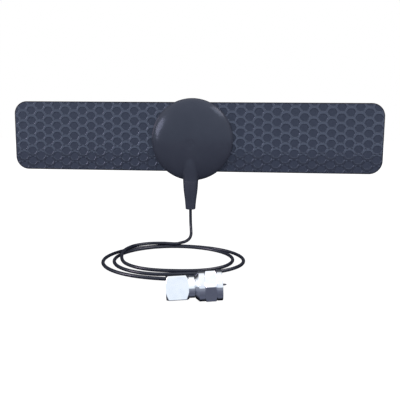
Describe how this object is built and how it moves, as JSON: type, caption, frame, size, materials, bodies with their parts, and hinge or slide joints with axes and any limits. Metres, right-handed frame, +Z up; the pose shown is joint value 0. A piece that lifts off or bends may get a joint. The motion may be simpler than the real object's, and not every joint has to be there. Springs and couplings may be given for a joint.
{
  "type": "flat indoor television antenna",
  "caption": "Flat indoor television antenna: honeycomb-embossed bar sheet, round centre hub, thin coaxial lead with a right-angle F plug and free coupling nut.",
  "frame": {"origin": "centre of the hub's rear adhesive disc, on the wall or window that the antenna sticks to", "axes": "+X along the sheet to the right as seen from the front, +Y into the wall, +Z up; the front faces -Y"},
  "size_m": [0.2, 0.1145, 0.078],
  "materials": {
    "film": "embossed satin-gloss dark blue-grey film",
    "foil": "bright rolled foil",
    "hub_plastic": "smooth gloss dark blue-grey moulding",
    "adhesive_tape": "firm double-sided tape with a release liner",
    "board": "green solder mask",
    "brass": "plain brass",
    "ferrite": "matte grey-black ceramic",
    "winding": "enamelled copper wire",
    "chip": "ceramic chip body",
    "steel": "zinc-plated steel",
    "tinned": "tinned sheet",
    "boot_plastic": "smooth semi-gloss flexible moulding",
    "cord_jacket": "smooth semi-gloss dark jacket",
    "nickel": "bright nickel plate",
    "insulator": "white polyethylene"
  },
  "bodies": {
    "antenna": {"front_skin": "film", "rear_skin": "film", "element_left": "foil", "element_right": "foil", "hub_front_cover": "hub_plastic", "hub_rear_cover": "hub_plastic", "hub_screw_1": "steel", "hub_screw_2": "steel", "hub_screw_3": "steel", "hub_screw_4": "steel", "hub_adhesive_disc": "adhesive_tape", "left_adhesive_strip": "adhesive_tape", "right_adhesive_strip": "adhesive_tape", "matching_board": "board", "feed_rivet_left": "brass", "feed_rivet_right": "brass", "feed_washer_left": "tinned", "feed_washer_right": "tinned", "balun_core": "ferrite", "balun_primary": "winding", "balun_secondary": "winding", "matching_capacitor_left": "chip", "matching_capacitor_right": "chip", "static_bleed_resistor": "ferrite", "cable_lead_in": "cord_jacket", "cable_core_hub_end": "insulator", "braid_clamp": "tinned", "cable_boot": "boot_plastic", "cord_drop": "cord_jacket", "cord_coil": "cord_jacket", "cord_tail": "cord_jacket", "elbow_body": "nickel", "elbow_cap": "nickel", "crimp_ferrule": "nickel", "plug_insulator": "insulator", "centre_pin": "nickel", "cable_core_plug_end": "insulator", "snap_ring": "steel"},
    "nut": {"coupling_nut": "nickel"}
  },
  "joints": [
    {"name": "coupling_nut_spin", "type": "hinge", "parent": "antenna", "child": "nut", "pos_m": [0.01742, -0.10729, -0.04931], "axis": [0.9892, 0.1367, 0.0523], "continuous": true}
  ]
}
